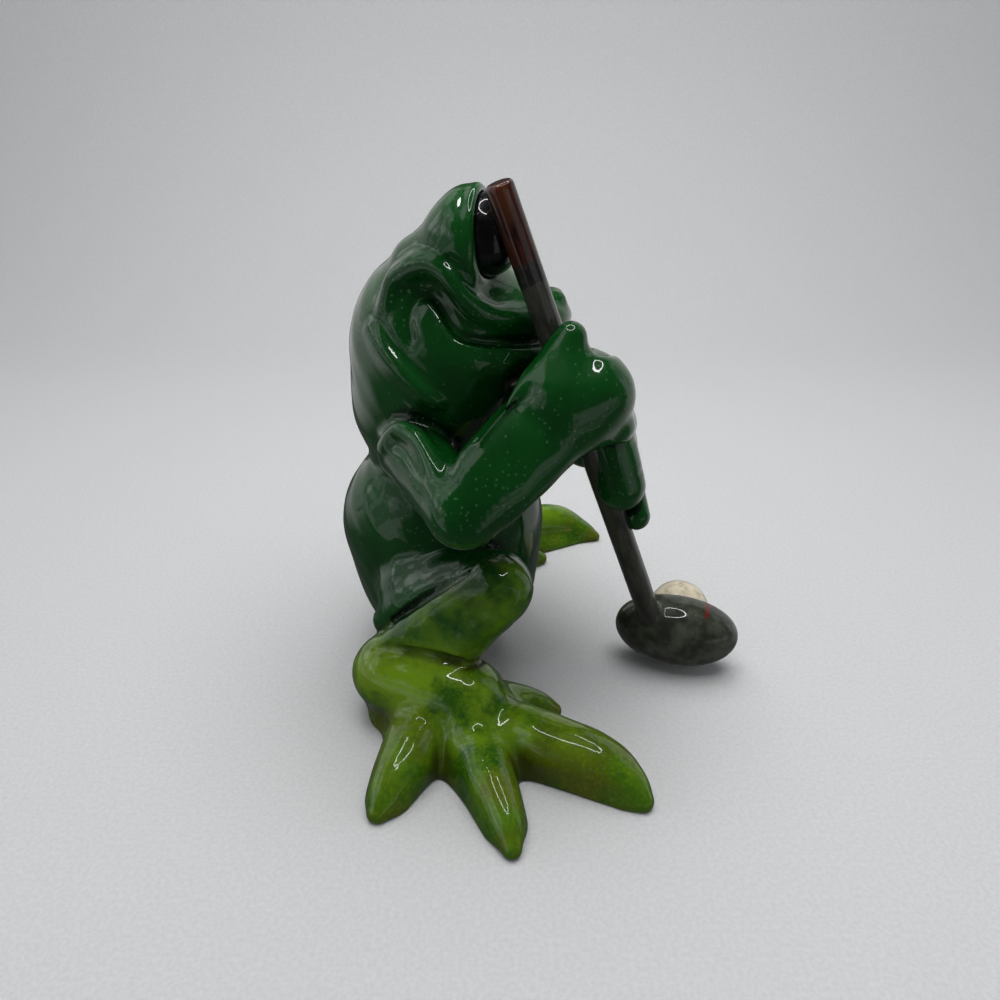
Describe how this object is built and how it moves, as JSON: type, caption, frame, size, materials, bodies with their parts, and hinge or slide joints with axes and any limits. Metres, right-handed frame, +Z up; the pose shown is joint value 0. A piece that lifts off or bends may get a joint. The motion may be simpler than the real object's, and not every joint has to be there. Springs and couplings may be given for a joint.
{
  "type": "frog golfer figurine",
  "caption": "Glossy cast frog that squats on broad webbed feet and grips a putter in both fists, with a ball behind the putter's head.",
  "frame": {"origin": "on the floor, under the middle of the whole figure's box", "axes": "+X is the way the frog looks, +Y is its left, +Z is up"},
  "size_m": [0.128, 0.1812, 0.1522],
  "materials": {
    "skin_green": "emerald green paint under clear lacquer, fine pale speckle",
    "skin_lime": "lime to olive paint with darker green shading under clear lacquer",
    "eye_black": "glossy black",
    "shaft_grey": "grey paint under lacquer",
    "grip_brown": "streaked red-brown paint under lacquer",
    "band_black": "black paint under lacquer",
    "club_grey": "mottled grey-green paint under lacquer",
    "ball_cream": "cream paint under lacquer",
    "dowel_steel": "plain steel pin"
  },
  "bodies": {
    "root": {"torso": "skin_green", "head": "skin_green", "right_arm": "skin_green", "left_arm": "skin_green", "right_hand": "skin_green", "left_hand": "skin_green", "right_leg": "skin_lime", "left_leg": "skin_lime", "right_foot": "skin_lime", "left_foot": "skin_lime", "right_eye": "eye_black", "left_eye": "eye_black", "club_shaft": "shaft_grey", "club_grip": "grip_brown", "grip_band": "band_black", "club_head": "club_grey", "golf_ball": "ball_cream", "neck_pin": "dowel_steel", "right_shoulder_pin": "dowel_steel", "left_shoulder_pin": "dowel_steel", "right_wrist_pin": "dowel_steel", "left_wrist_pin": "dowel_steel", "right_hip_pin": "dowel_steel", "left_hip_pin": "dowel_steel", "right_ankle_pin": "dowel_steel", "left_ankle_pin": "dowel_steel", "ball_pin": "dowel_steel"}
  },
  "joints": []
}
